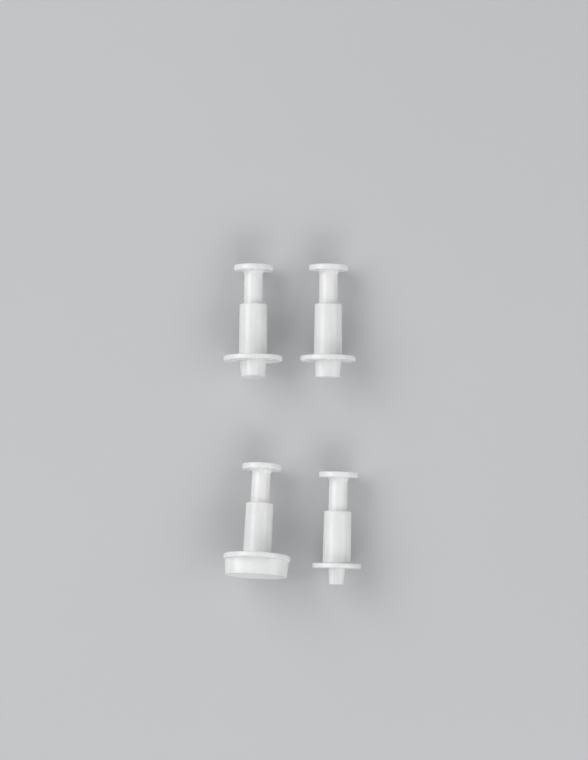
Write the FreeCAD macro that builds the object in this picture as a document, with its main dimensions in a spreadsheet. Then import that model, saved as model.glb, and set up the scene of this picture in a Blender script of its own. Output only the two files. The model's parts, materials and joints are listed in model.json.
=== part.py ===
"""Set of four oval plunger cutters for sugar paste, lying in two rows of two.

Each cutter is a spring-return tool about 46 mm long: a plunger with a thumb cap slides in a barrel, the barrel
stands on a cutter head with a finger flange and an oval blade, and an ejector on the plunger's end pushes the
cut shape out of the blade.  The four sizes share the plunger, the barrel and the spring, and differ in the oval.

Every piece is modelled upright about its own Z axis, with the cutting edge at height zero.  A cutter is then
laid on its side, on the rims of its flange and its cap.  Lengths are in millimetres and angles in degrees.
"""

import FreeCAD, Part
import math
import os

import Sketcher

DOCUMENT = FreeCAD.newDocument("plunger_cutter_set")
SHEET = DOCUMENT.addObject("Spreadsheet::Sheet", "Sizes")

# Sizes that all four cutters share
SHARED_SIZES = (
    ("cap_diameter", "16.0", "thumb cap, across"),
    ("cap_thickness", "2.2", "thumb cap, height of its rim"),
    ("cap_recess_margin", "2.1", "flat ring round the thumb recess, width"),
    ("cap_recess_depth", "0.35", "thumb recess, depth"),
    ("cap_neck_fillet", "1.6", "fillet where the stem meets the cap"),
    ("rim_round", "0.35", "rounding on the rims of the cap and the flange"),
    ("stem_diameter", "7.6", "plunger stem, across"),
    ("stem_reach", "13.8", "stem between the barrel and the cap at rest"),
    ("stem_engagement", "5.5", "stem inside the barrel at rest"),
    ("slide_clearance", "0.1", "gap all round a piece that slides in a bore"),
    ("lead_chamfer", "0.35", "chamfer that leads one piece into another"),
    ("rod_diameter", "2.4", "ejector rod, across"),
    ("rod_grip", "8.0", "ejector rod inside the stem, length"),
    ("barrel_length", "21.6", "barrel, from the flange to its mouth"),
    ("barrel_wall", "1.1", "barrel wall at its mouth, below the guide lip"),
    ("barrel_draft", "0.2", "how much the barrel's radius grows to its foot"),
    ("barrel_mouth_round", "0.55", "rounding round the barrel's mouth"),
    ("barrel_foot_chamfer", "0.3", "chamfer round the barrel's foot, seen as a seam"),
    ("guide_step", "0.6", "how far the guide lip stands in from the barrel's bore"),
    ("guide_length", "4.6", "guide lip, length along the barrel"),
    ("spigot_height", "5.6", "spigot that carries the barrel, height"),
    ("spigot_wall", "1.1", "spigot, wall"),
    ("flange_thickness", "1.9", "finger flange, thickness"),
    ("blade_height", "6.6", "blade, from the flange to the cutting edge"),
    ("blade_taper", "0.45", "how far the blade's root stands out from its edge"),
    ("blade_root_wall", "0.8", "blade wall at the flange"),
    ("blade_edge_wall", "0.2", "blade wall at the cutting edge"),
    ("blade_root_fillet", "0.2", "fillet between the blade and the flange"),
    ("oval_width_share", "0.71", "width of each oval as a share of its length"),
    ("foot_thickness", "1.6", "ejector foot, thickness"),
    ("foot_clearance", "0.2", "gap between the ejector foot and the blade"),
    ("foot_round", "0.25", "rounding on the ejector foot's lower edge"),
    ("stop_gap", "0.1", "gap that the ejector's stop keeps at rest"),
    ("spring_clearance", "0.2", "gap between the spring and its pocket"),
    ("spring_seat_gap", "0.05", "gap between the spring's ends and their seats"),
    ("wire_diameter", "0.5", "spring wire, across"),
    ("end_coil_gap", "0.5", "gap between turns in the spring's end coils"),
)

# Sizes of each cutter: its oval, its flange, and how it lies in the set
CUTTER_SIZES = {
    "small": {
        "oval_length": "6.0",
        "flange_overhang": "7.0",
        "place_x": "18.07",
        "place_y": "-65.81",
        "roll": "0",
        "lean": "1.3",
    },
    "medium": {
        "oval_length": "10.0",
        "flange_overhang": "6.4",
        "place_x": "14.61",
        "place_y": "19.26",
        "roll": "0",
        "lean": "0.5",
    },
    "large": {
        "oval_length": "14.0",
        "flange_overhang": "5.1",
        "place_x": "-16.08",
        "place_y": "19.29",
        "roll": "90",
        "lean": "0.2",
    },
    "extra_large": {
        "oval_length": "25.4",
        "flange_overhang": "1.08",
        "place_x": "-14.85",
        "place_y": "-62.28",
        "roll": "0",
        "lean": "3.0",
    },
}
CUTTER_NOTES = {
    "oval_length": "oval at the cutting edge, length",
    "flange_overhang": "flange beyond the ends of the oval",
    "place_x": "middle of the cutting edge, across the set",
    "place_y": "middle of the cutting edge, along the set",
    "roll": "turn of the oval about the cutter's own axis",
    "lean": "turn of the lying cutter, clockwise from above",
}

# Counts
SPRING_END_TURNS = 1
SPRING_ACTIVE_TURNS = 6
ARCS_PER_TURN = 4
GAP_SAMPLES_PER_TURN = 48

FULL_TURN = 360
QUARTER_TURN = 90
# Two sizes closer than this are taken to be the same when an edge is looked for
MATCH_TOLERANCE = 1e-4

# Heights above the cutting edge, as formulas of the sheet's cells
EDGE = "0"
FLANGE_UNDERSIDE = "Sizes.blade_height"
FLANGE_TOP = f"({FLANGE_UNDERSIDE} + Sizes.flange_thickness)"
SPIGOT_TOP = f"({FLANGE_TOP} + Sizes.spigot_height)"
BARREL_TOP = f"({FLANGE_TOP} + Sizes.barrel_length)"
GUIDE_END = f"({BARREL_TOP} - Sizes.guide_length)"
STEM_END = f"({BARREL_TOP} - Sizes.stem_engagement)"
ROD_TOP = f"({STEM_END} + Sizes.rod_grip)"
CAP_UNDERSIDE = f"({BARREL_TOP} + Sizes.stem_reach)"
CAP_TOP = f"({CAP_UNDERSIDE} + Sizes.cap_thickness)"
RECESS_FLOOR = f"({CAP_TOP} - Sizes.cap_recess_depth)"
FOOT_TOP = f"({FLANGE_UNDERSIDE} - Sizes.stop_gap)"
FOOT_UNDERSIDE = f"({FOOT_TOP} - Sizes.foot_thickness)"

# Radii about a cutter's axis, as formulas of the sheet's cells
AXIS = "0"
CAP_RADIUS = "(Sizes.cap_diameter / 2)"
RECESS_RADIUS = f"({CAP_RADIUS} - Sizes.cap_recess_margin)"
STEM_RADIUS = "(Sizes.stem_diameter / 2)"
ROD_RADIUS = "(Sizes.rod_diameter / 2)"
ROD_HOLE_RADIUS = f"({ROD_RADIUS} + Sizes.slide_clearance)"
GUIDE_RADIUS = f"({STEM_RADIUS} + Sizes.slide_clearance)"
BORE_RADIUS = f"({GUIDE_RADIUS} + Sizes.guide_step)"
BARREL_MOUTH_RADIUS = f"({BORE_RADIUS} + Sizes.barrel_wall)"
BARREL_FOOT_RADIUS = f"({BARREL_MOUTH_RADIUS} + Sizes.barrel_draft)"
POCKET_RADIUS = f"({BORE_RADIUS} - Sizes.spigot_wall)"


def flange_radius(cutter):
    """Formula of a cutter's flange radius."""
    return f"(Sizes.{cutter}_oval_length / 2 + Sizes.{cutter}_flange_overhang)"


def edge_oval(cutter, inset):
    """Formulas of the length and width of the oval at the cutting edge, taken in all round by inset."""
    length = f"Sizes.{cutter}_oval_length"
    return f"({length} - 2 * ({inset}))", f"({length} * Sizes.oval_width_share - 2 * ({inset}))"


def fill_sheet():
    """Write every driving size into the sheet as plain text, with its note beside it and an alias."""
    rows = list(SHARED_SIZES)
    for cutter, sizes in CUTTER_SIZES.items():
        for name, value in sizes.items():
            rows.append((f"{cutter}_{name}", value, f"{cutter}: {CUTTER_NOTES[name]}"))
    for row, (alias, value, note) in enumerate(rows, start=1):
        SHEET.set(f"A{row}", note)
        SHEET.set(f"B{row}", value)
        SHEET.setAlias(f"B{row}", alias)
    DOCUMENT.recompute()


def number(formula):
    """Value of a formula of the sheet's cells."""
    return float(SHEET.evalExpression(formula))


def new_body(name):
    """Body whose Label names its piece."""
    body = DOCUMENT.addObject("PartDesign::Body", name)
    body.Label = name
    return body


def new_sketch(body, name, plane, height=None):
    """Sketch on one of the body's own origin planes, raised to a height if one is given."""
    sketch = body.newObject("Sketcher::SketchObject", f"{body.Name}_{name}")
    support = next(feature for feature in body.Origin.OriginFeatures if feature.Role == plane)
    sketch.AttachmentSupport = (support, [""])
    sketch.MapMode = "FlatFace"
    if height is not None:
        sketch.setExpression("AttachmentOffset.Base.z", height)
    return sketch


def bind(sketch, name, constraint, formula):
    """Add a sketch dimension and tie it to a formula."""
    index = sketch.addConstraint(constraint)
    sketch.renameConstraint(index, name)
    sketch.setExpression(f"Constraints.{name}", formula)


def half_section(body, name, corners):
    """Closed outline of straight lines on the XZ plane; each corner is (radius, height) in formulas."""
    sketch = new_sketch(body, name, "XZ_Plane")
    points = [FreeCAD.Vector(number(radius), number(height), 0) for radius, height in corners]
    following = points[1:] + points[:1]
    for start, end in zip(points, following):
        sketch.addGeometry(Part.LineSegment(start, end))
    for index, (radius, height) in enumerate(corners):
        after = (index + 1) % len(corners)
        sketch.addConstraint(Sketcher.Constraint("Coincident", index, 2, after, 1))
        if radius == AXIS:
            sketch.addConstraint(Sketcher.Constraint("PointOnObject", index, 1, -2))
        else:
            across = Sketcher.Constraint("DistanceX", -1, 1, index, 1, number(radius))
            bind(sketch, f"radius_{index}", across, radius)
        upwards = Sketcher.Constraint("DistanceY", -1, 1, index, 1, number(height))
        bind(sketch, f"height_{index}", upwards, height)
    return sketch


def oval_sketch(body, name, oval, height):
    """Ellipse about the axis at a height, its length along X; oval is (length, width) in formulas."""
    sketch = new_sketch(body, name, "XY_Plane", height)
    length, width = oval
    outline = Part.Ellipse(FreeCAD.Vector(), number(length) / 2, number(width) / 2)
    ellipse = sketch.addGeometry(outline)
    sketch.exposeInternalGeometry(ellipse)
    long_axis, short_axis = ellipse + 1, ellipse + 2
    sketch.addConstraint(Sketcher.Constraint("Coincident", ellipse, 3, -1, 1))
    sketch.addConstraint(Sketcher.Constraint("Horizontal", long_axis))
    bind(sketch, "length", Sketcher.Constraint("Distance", long_axis, number(length)), length)
    bind(sketch, "width", Sketcher.Constraint("Distance", short_axis, number(width)), width)
    return sketch


def circle_sketch(body, name, radius, height):
    """Circle about the axis at a height; radius is a formula."""
    sketch = new_sketch(body, name, "XY_Plane", height)
    circle = sketch.addGeometry(Part.Circle(FreeCAD.Vector(), FreeCAD.Vector(0, 0, 1), number(radius)))
    sketch.addConstraint(Sketcher.Constraint("Coincident", circle, 3, -1, 1))
    bind(sketch, "radius", Sketcher.Constraint("Radius", circle, number(radius)), radius)
    return sketch


def revolve(body, name, profile):
    """Full turn of a half section about the body's axis."""
    turned = body.newObject("PartDesign::Revolution", f"{body.Name}_{name}")
    turned.Profile = profile
    turned.ReferenceAxis = (profile, ["V_Axis"])
    turned.Angle = FULL_TURN
    DOCUMENT.recompute()
    return turned


def pad(body, name, profile, length):
    """Straight pad of a sketch, upwards by a length in a formula."""
    raised = body.newObject("PartDesign::Pad", f"{body.Name}_{name}")
    raised.Profile = profile
    raised.setExpression("Length", length)
    DOCUMENT.recompute()
    return raised


def loft(body, name, kind, start, end):
    """Ruled loft from one sketch to another; kind is AdditiveLoft or SubtractiveLoft."""
    lofted = body.newObject(f"PartDesign::{kind}", f"{body.Name}_{name}")
    lofted.Profile = start
    lofted.Sections = [end]
    lofted.Ruled = True
    DOCUMENT.recompute()
    return lofted


def edges_at(base, reach, height):
    """Names of a feature's closed edges at a height whose largest reach from the axis is as given."""
    found = []
    for index, edge in enumerate(base.Shape.Edges, start=1):
        box = edge.BoundBox
        level = box.ZLength < MATCH_TOLERANCE and abs(box.ZMin - number(height)) < MATCH_TOLERANCE
        if edge.isClosed() and level and abs(box.XMax - number(reach)) < MATCH_TOLERANCE:
            found.append(f"Edge{index}")
    if not found:
        raise ValueError(f"{base.Name} has no edge of reach {reach} at height {height}")
    return found


def soften(body, name, kind, base, edges, size):
    """Fillet or chamfer on edges that are given as (reach, height); kind is Fillet or Chamfer."""
    softened = body.newObject(f"PartDesign::{kind}", f"{body.Name}_{name}")
    softened.Base = (base, [found for reach, height in edges for found in edges_at(base, reach, height)])
    softened.setExpression("Radius" if kind == "Fillet" else "Size", size)
    DOCUMENT.recompute()
    return softened


def make_plunger(cutter):
    """Thumb cap and stem in one moulding, bored from below for the ejector rod."""
    body = new_body(f"{cutter}_plunger")
    section = half_section(
        body,
        "section",
        [
            (AXIS, RECESS_FLOOR),
            (RECESS_RADIUS, RECESS_FLOOR),
            (RECESS_RADIUS, CAP_TOP),
            (CAP_RADIUS, CAP_TOP),
            (CAP_RADIUS, CAP_UNDERSIDE),
            (STEM_RADIUS, CAP_UNDERSIDE),
            (STEM_RADIUS, STEM_END),
            (ROD_RADIUS, STEM_END),
            (ROD_RADIUS, ROD_TOP),
            (AXIS, ROD_TOP),
        ],
    )
    turned = revolve(body, "turned", section)
    neck = soften(body, "neck", "Fillet", turned, [(STEM_RADIUS, CAP_UNDERSIDE)], "Sizes.cap_neck_fillet")
    rims = [(CAP_RADIUS, CAP_TOP), (CAP_RADIUS, CAP_UNDERSIDE)]
    rounded = soften(body, "rims", "Fillet", neck, rims, "Sizes.rim_round")
    soften(body, "lead", "Chamfer", rounded, [(STEM_RADIUS, STEM_END)], "Sizes.lead_chamfer")
    return body


def make_barrel(cutter):
    """Drafted tube with a guide lip at its mouth and a plain socket at its foot."""
    body = new_body(f"{cutter}_barrel")
    section = half_section(
        body,
        "section",
        [
            (GUIDE_RADIUS, BARREL_TOP),
            (BARREL_MOUTH_RADIUS, BARREL_TOP),
            (BARREL_FOOT_RADIUS, FLANGE_TOP),
            (BORE_RADIUS, FLANGE_TOP),
            (BORE_RADIUS, GUIDE_END),
            (GUIDE_RADIUS, GUIDE_END),
        ],
    )
    turned = revolve(body, "turned", section)
    mouth = [(BARREL_MOUTH_RADIUS, BARREL_TOP)]
    rounded = soften(body, "mouth", "Fillet", turned, mouth, "Sizes.barrel_mouth_round")
    lead = soften(body, "lead", "Chamfer", rounded, [(GUIDE_RADIUS, BARREL_TOP)], "Sizes.lead_chamfer")
    soften(body, "seam", "Chamfer", lead, [(BARREL_FOOT_RADIUS, FLANGE_TOP)], "Sizes.barrel_foot_chamfer")
    return body


def make_cutter_head(cutter):
    """Finger flange with the spigot above it and the oval blade below it, in one moulding."""
    body = new_body(f"{cutter}_cutter_head")
    rim = flange_radius(cutter)
    section = half_section(
        body,
        "section",
        [
            (ROD_HOLE_RADIUS, FLANGE_UNDERSIDE),
            (rim, FLANGE_UNDERSIDE),
            (rim, FLANGE_TOP),
            (BORE_RADIUS, FLANGE_TOP),
            (BORE_RADIUS, SPIGOT_TOP),
            (POCKET_RADIUS, SPIGOT_TOP),
            (POCKET_RADIUS, FLANGE_TOP),
            (ROD_HOLE_RADIUS, FLANGE_TOP),
        ],
    )
    flange = revolve(body, "flange", section)
    rims = [(rim, FLANGE_TOP), (rim, FLANGE_UNDERSIDE)]
    rounded = soften(body, "rims", "Fillet", flange, rims, "Sizes.rim_round")
    soften(body, "lead", "Chamfer", rounded, [(BORE_RADIUS, SPIGOT_TOP)], "Sizes.lead_chamfer")

    # The blade's outside narrows to the edge, and its inside widens to it
    root = edge_oval(cutter, "-Sizes.blade_taper")
    outer_root = oval_sketch(body, "outer_root", root, FLANGE_UNDERSIDE)
    outer_edge = oval_sketch(body, "outer_edge", edge_oval(cutter, "0"), EDGE)
    blade = loft(body, "blade", "AdditiveLoft", outer_root, outer_edge)
    root_reach = f"({root[0]} / 2)"
    footing = [(root_reach, FLANGE_UNDERSIDE)]
    soften(body, "footing", "Fillet", blade, footing, "Sizes.blade_root_fillet")
    ceiling = edge_oval(cutter, "Sizes.blade_root_wall - Sizes.blade_taper")
    inner_root = oval_sketch(body, "inner_root", ceiling, FLANGE_UNDERSIDE)
    inner_edge = oval_sketch(body, "inner_edge", edge_oval(cutter, "Sizes.blade_edge_wall"), EDGE)
    loft(body, "hollow", "SubtractiveLoft", inner_root, inner_edge)
    return body


def make_ejector(cutter):
    """Oval foot that fills the blade's ceiling, on a rod that is pressed into the plunger's stem."""
    body = new_body(f"{cutter}_ejector")
    inset = "Sizes.blade_root_wall - Sizes.blade_taper + Sizes.foot_clearance"
    oval = edge_oval(cutter, inset)
    foot = pad(body, "foot", oval_sketch(body, "oval", oval, FOOT_UNDERSIDE), "Sizes.foot_thickness")
    foot_reach = f"({oval[0]} / 2)"
    soften(body, "edge", "Fillet", foot, [(foot_reach, FOOT_UNDERSIDE)], "Sizes.foot_round")
    rod_sketch = circle_sketch(body, "circle", ROD_RADIUS, FOOT_TOP)
    rod = pad(body, "rod", rod_sketch, f"{ROD_TOP} - {FOOT_TOP}")
    soften(body, "lead", "Chamfer", rod, [(ROD_RADIUS, ROD_TOP)], "Sizes.lead_chamfer")
    return body


def spring_rise(turn, end_pitch, active_pitch):
    """Height of the wire's centre above its start, and its slope per turn, after so many turns.

    The slope eases from the end coils' pitch to the active coils' pitch and back by a raised cosine over the
    active turns, so the height is its integral: a straight rise with a sine on it.
    """
    after_first = min(max(turn - SPRING_END_TURNS, 0), SPRING_ACTIVE_TURNS)
    phase = 2 * math.pi * after_first / SPRING_ACTIVE_TURNS
    swing = active_pitch - end_pitch
    wave = swing * (after_first - SPRING_ACTIVE_TURNS * math.sin(phase) / (2 * math.pi))
    return end_pitch * turn + wave, end_pitch + swing * (1 - math.cos(phase))


def arc_pair(start, start_way, end, end_way):
    """Two arcs that leave start along start_way and reach end along end_way, with equal tangent lengths."""
    chord = end - start
    ways = start_way + end_way
    bend = 2 * (1 - start_way.dot(end_way))
    along = chord.dot(ways)
    tangent = (math.sqrt(along * along + bend * chord.dot(chord)) - along) / bend
    first_corner = start + start_way * tangent
    last_corner = end - end_way * tangent
    meeting = (first_corner + last_corner) / 2
    return [arc_round(start, first_corner, meeting), arc_round(meeting, last_corner, end)]


def arc_round(start, corner, end):
    """Arc from start to end that is tangent to the lines through their common corner."""
    middle = (start + end) / 2
    half_chord_share = (end - middle).Length / (corner - start).Length
    crown = middle + (corner - middle) * (half_chord_share / (1 + half_chord_share))
    return Part.Arc(start, crown, end).toShape()


def make_return_spring(cutter):
    """Compression spring round the rod, from the pocket's floor to the stem's end, with close end coils."""
    wire = number("Sizes.wire_diameter")
    seat_gap = number("Sizes.spring_seat_gap")
    coil_radius = number(f"{POCKET_RADIUS} - Sizes.spring_clearance") - wire / 2
    bottom = number(FLANGE_TOP) + seat_gap + wire / 2
    top = number(STEM_END) - seat_gap - wire / 2
    turns = SPRING_ACTIVE_TURNS + 2 * SPRING_END_TURNS
    end_pitch = wire + number("Sizes.end_coil_gap")
    active_pitch = end_pitch + (top - bottom - end_pitch * turns) / SPRING_ACTIVE_TURNS

    def centre(turn):
        angle = 2 * math.pi * turn
        rise, _ = spring_rise(turn, end_pitch, active_pitch)
        return FreeCAD.Vector(coil_radius * math.cos(angle), coil_radius * math.sin(angle), bottom + rise)

    def way(turn):
        angle = 2 * math.pi * turn
        round_speed = 2 * math.pi * coil_radius
        _, slope = spring_rise(turn, end_pitch, active_pitch)
        direction = FreeCAD.Vector(-round_speed * math.sin(angle), round_speed * math.cos(angle), slope)
        return direction.normalize()

    stations = [index / ARCS_PER_TURN for index in range(turns * ARCS_PER_TURN + 1)]
    arcs = []
    for here, there in zip(stations, stations[1:]):
        arcs += arc_pair(centre(here), way(here), centre(there), way(there))
    spine = Part.Wire(arcs)
    section = Part.Wire(Part.Circle(centre(0), way(0), wire / 2).toShape())
    coil = Part.BRepOffsetAPI.MakePipeShell(spine)
    coil.add(section)
    coil.build()
    coil.makeSolid()

    samples = [centre(index / GAP_SAMPLES_PER_TURN) for index in range(turns * GAP_SAMPLES_PER_TURN + 1)]
    apart = GAP_SAMPLES_PER_TURN // 2
    least = min(
        (other - point).Length - wire
        for index, point in enumerate(samples)
        for other in samples[index + apart :]
    )
    print(f"{cutter} spring: least gap between turns {least:.2f} mm")

    spring = DOCUMENT.addObject("Part::Feature", f"{cutter}_return_spring")
    spring.Label = spring.Name
    spring.Shape = coil.shape()
    return spring


def lying(cutter):
    """Placement that lays an upright cutter on the rims of its flange and its cap, with its cap towards +Y.

    The line under both rims touches their roundings, which are alike, so it is parallel to the line through
    the centres of the roundings: the tilt is the slope of that line.
    """
    rounding = number("Sizes.rim_round")
    flange_reach = number(flange_radius(cutter)) - rounding
    cap_reach = number(CAP_RADIUS) - rounding
    flange_height = number(FLANGE_TOP) - rounding
    cap_height = number(CAP_TOP) - rounding
    tilt = math.atan2(flange_reach - cap_reach, cap_height - flange_height)
    axis_height = flange_height * math.sin(tilt) + flange_reach * math.cos(tilt) + rounding

    across, upwards = FreeCAD.Vector(1, 0, 0), FreeCAD.Vector(0, 0, 1)
    roll = FreeCAD.Rotation(upwards, number(f"Sizes.{cutter}_roll"))
    tip_over = FreeCAD.Rotation(across, -QUARTER_TURN - math.degrees(tilt))
    lean = FreeCAD.Rotation(upwards, -number(f"Sizes.{cutter}_lean"))
    place = FreeCAD.Vector(number(f"Sizes.{cutter}_place_x"), number(f"Sizes.{cutter}_place_y"), axis_height)
    return FreeCAD.Placement(place, lean * tip_over * roll)


def check(pieces):
    """Stop if any object failed to recompute, or if a piece isn't one valid solid."""
    for item in DOCUMENT.Objects:
        if "Invalid" in item.State or "Error" in item.State:
            raise RuntimeError(f"{item.Name} failed: {item.State}")
    for piece in pieces:
        shape = piece.Shape
        if shape.isNull() or not shape.isValid() or len(shape.Solids) != 1:
            raise RuntimeError(f"{piece.Label} isn't one valid solid")


def main():
    fill_sheet()
    makers = (make_plunger, make_barrel, make_cutter_head, make_ejector, make_return_spring)
    pieces = []
    for cutter in CUTTER_SIZES:
        placement = lying(cutter)
        for make in makers:
            piece = make(cutter)
            piece.Placement = placement
            pieces.append(piece)
    DOCUMENT.recompute()
    check(pieces)
    os.makedirs("parts", exist_ok=True)
    for piece in pieces:
        piece.Shape.exportStep(f"parts/{piece.Label}.step")


main()
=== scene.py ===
"""Set of oval plunger cutters in white plastic: finished pieces, their materials and a studio stage.

Every moulded piece is an outline carried round the axis of its cutter.  The cutters' own frames and main
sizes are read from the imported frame, and the small moulded details are settings in the sidebar.  Lengths
are in metres.
"""

import json
import math

import bpy
import numpy as np
from bpy.props import FloatProperty, FloatVectorProperty, IntProperty, PointerProperty
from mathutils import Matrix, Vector

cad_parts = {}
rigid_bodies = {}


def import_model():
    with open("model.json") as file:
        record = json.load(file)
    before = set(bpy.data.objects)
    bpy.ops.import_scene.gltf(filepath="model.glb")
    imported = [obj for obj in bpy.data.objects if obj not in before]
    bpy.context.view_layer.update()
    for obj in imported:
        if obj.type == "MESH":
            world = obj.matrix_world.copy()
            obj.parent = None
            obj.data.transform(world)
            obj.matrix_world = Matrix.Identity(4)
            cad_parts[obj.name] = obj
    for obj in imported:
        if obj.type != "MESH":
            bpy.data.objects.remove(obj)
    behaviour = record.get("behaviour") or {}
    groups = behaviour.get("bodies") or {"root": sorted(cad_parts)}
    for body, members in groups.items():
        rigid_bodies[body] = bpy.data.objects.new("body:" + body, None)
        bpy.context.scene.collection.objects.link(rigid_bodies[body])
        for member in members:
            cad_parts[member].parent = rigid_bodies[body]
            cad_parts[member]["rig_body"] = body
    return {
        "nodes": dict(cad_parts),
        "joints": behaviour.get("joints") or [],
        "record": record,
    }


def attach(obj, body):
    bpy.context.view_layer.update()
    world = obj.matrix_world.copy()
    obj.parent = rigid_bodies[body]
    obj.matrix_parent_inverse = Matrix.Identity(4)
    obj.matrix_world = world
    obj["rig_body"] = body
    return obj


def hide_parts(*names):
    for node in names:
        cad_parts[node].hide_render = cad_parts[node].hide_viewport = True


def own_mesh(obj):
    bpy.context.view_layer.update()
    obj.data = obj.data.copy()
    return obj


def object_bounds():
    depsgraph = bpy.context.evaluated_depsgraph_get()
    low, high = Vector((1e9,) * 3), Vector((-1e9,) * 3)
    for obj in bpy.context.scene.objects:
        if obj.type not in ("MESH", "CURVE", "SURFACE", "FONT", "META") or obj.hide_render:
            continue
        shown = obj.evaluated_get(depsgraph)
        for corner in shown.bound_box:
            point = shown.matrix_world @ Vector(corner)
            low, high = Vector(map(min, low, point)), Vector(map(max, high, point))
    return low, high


bl_info = {
    "name": "Oval plunger cutters",
    "version": (1, 0, 0),
    "blender": (4, 5, 0),
    "location": "3D View > Sidebar > Cutters",
    "description": "Finished pieces, materials and stage for a set of oval plunger cutters",
    "category": "Object",
}

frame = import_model()
CAD_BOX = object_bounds()
CUTTERS = ("small", "medium", "large", "extra_large")
MOUNTS = {mount["name"]: mount for mount in frame["record"]["mounts"]}
JOINTS = {joint["name"]: joint for joint in frame["joints"]}

MILLIMETRE = 0.001
FULL_TURN = 2 * math.pi
EDGE_TOLERANCE = 1e-6

# Fineness of the meshes.  The finer columns at a seam reach a few half widths of its ridge to each side,
# and an added row keeps a part of the row spacing away from the outline's own rows.
ARC_POINTS = 7
ROUND_COLUMNS = 144
SEAM_COLUMNS = 9
SEAM_HALF_WIDTHS = 3
ANGLE_DIGITS = 9
SPACING_PARTS = 3
WIRE_COLUMNS = 20
WIRE_ROWS_PER_TURN = 48

# Angle of each cutter's first parting seam about its axis, in radians.  The second is half a turn further.
SEAM_TURNS = {"small": 0.7, "medium": 2.5, "large": 0.4, "extra_large": 2.7}


def length(name, millimetres, description):
    """Property for a length, with its default given in millimetres."""
    return FloatProperty(
        name=name,
        description=description,
        default=millimetres * MILLIMETRE,
        min=0.0,
        precision=5,
        subtype="DISTANCE",
        unit="LENGTH",
    )


def share(name, default, description):
    """Property for a share between none and all."""
    return FloatProperty(
        name=name, description=description, default=default, min=0.0, max=1.0, subtype="FACTOR"
    )


def power(name, watts, description):
    """Property for a lamp's power in watts."""
    return FloatProperty(name=name, description=description, default=watts, min=0.0, unit="POWER")


def colour(name, default, description):
    """Property for a linear colour."""
    return FloatVectorProperty(
        name=name, description=description, default=default, size=3, min=0.0, max=1.0, subtype="COLOR"
    )


def turns(name, default, description):
    """Property for a number of a spring's turns."""
    return IntProperty(name=name, description=description, default=default, min=1)


class CutterSizes(bpy.types.PropertyGroup):
    """Sizes of the moulded details and of the springs, shared by all the cutters."""

    cap_thickness: length("Cap thickness", 2.2, "Height of the thumb cap's rim")
    recess_margin: length("Recess margin", 2.1, "Flat ring round the thumb recess")
    recess_depth: length("Recess depth", 0.35, "Depth of the thumb recess")
    dish_depth: length("Dish depth", 0.12, "How much deeper the thumb recess is in its middle")
    dish_radius: length("Dish radius", 55.0, "Radius of the curve that the dish follows")
    gate_diameter: length("Gate mark", 1.7, "Trimmed gate in the middle of the thumb recess, across")
    gate_height: length("Gate height", 0.12, "How far the trimmed gate stands up")
    neck_fillet: length("Neck fillet", 1.6, "Fillet where the stem meets the cap")
    rim_round: length("Rim rounding", 0.35, "Rounding on the rims of the cap and the flange")
    stem_diameter: length("Stem diameter", 7.6, "Plunger stem, across")
    rod_diameter: length("Rod diameter", 2.4, "Ejector rod, across")
    slide_clearance: length("Slide clearance", 0.1, "Gap round a piece that slides in a bore")
    lead_chamfer: length("Lead chamfer", 0.35, "Chamfer that leads one piece into another")
    guide_step: length("Guide step", 0.6, "How far the guide lip stands in from the bore")
    guide_length: length("Guide length", 4.6, "Guide lip along the barrel")
    barrel_wall: length("Barrel wall", 1.1, "Wall of the barrel at its mouth")
    mouth_round: length("Mouth rounding", 0.55, "Rounding round the barrel's mouth")
    seam_chamfer: length("Seam chamfer", 0.3, "Chamfer round the barrel's foot")
    spigot_wall: length("Spigot wall", 1.1, "Wall of the spigot inside the barrel")
    flange_thickness: length("Flange thickness", 1.9, "Finger flange, thickness")
    blade_taper: length("Blade taper", 0.45, "How far the blade's root stands out from its edge")
    blade_root_wall: length("Blade root", 0.8, "Blade wall at the flange")
    blade_edge_wall: length("Blade edge", 0.2, "Blade wall at the cutting edge")
    blade_root_fillet: length("Blade fillet", 0.2, "Fillet between the blade and the flange")
    foot_thickness: length("Foot thickness", 1.6, "Ejector foot, thickness")
    foot_round: length("Foot rounding", 0.25, "Rounding on the ejector foot's lower edge")
    foot_gate_diameter: length("Foot gate", 1.5, "Dimple round the trimmed gate under the foot, across")
    foot_gate_depth: length("Foot gate depth", 0.14, "Depth of that dimple")
    pin_diameter: length("Pin mark", 2.3, "Marks that the mould's pins left under the flange, across")
    edge_break: length("Edge break", 0.06, "Rounding on other moulded edges, half or twice that on a few")
    seam_height: length("Parting ridge", 0.035, "Height of the fine ridges where the mould parted")
    seam_width: length("Ridge width", 0.11, "Half width of those ridges")
    row_spacing: length("Row spacing", 0.9, "Step between the rows that divide an outline's long runs")
    wire_diameter: length("Wire diameter", 0.5, "Spring wire, across")
    spring_clearance: length("Spring clearance", 0.2, "Gap between the spring and its pocket")
    spring_seat_gap: length("Spring seat gap", 0.05, "Gap at the spring's ends")
    end_coil_gap: length("End coil gap", 0.5, "Gap between turns in the end coils")
    spring_end_turns: turns("End turns", 1, "Close turns at each end")
    spring_active_turns: turns("Active turns", 6, "Open turns between")


class FinishSettings(bpy.types.PropertyGroup):
    """Colours and gloss of the plastic and the spring wire."""

    white: colour("White", (0.885, 0.89, 0.892), "Plastic as moulded")
    shade: colour("Shade", (0.835, 0.838, 0.835), "Plastic where it cooled more slowly")
    dust: colour("Dust", (0.60, 0.585, 0.555), "Dust in corners and scattered specks")
    gloss_roughness: share("Gloss roughness", 0.265, "Roughness of the polished mouldings")
    satin_roughness: share("Satin roughness", 0.34, "Roughness of the satin mouldings")
    steel: colour("Steel", (0.58, 0.58, 0.60), "Drawn spring wire")
    steel_roughness: share("Steel roughness", 0.28, "Roughness of the wire")


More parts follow.
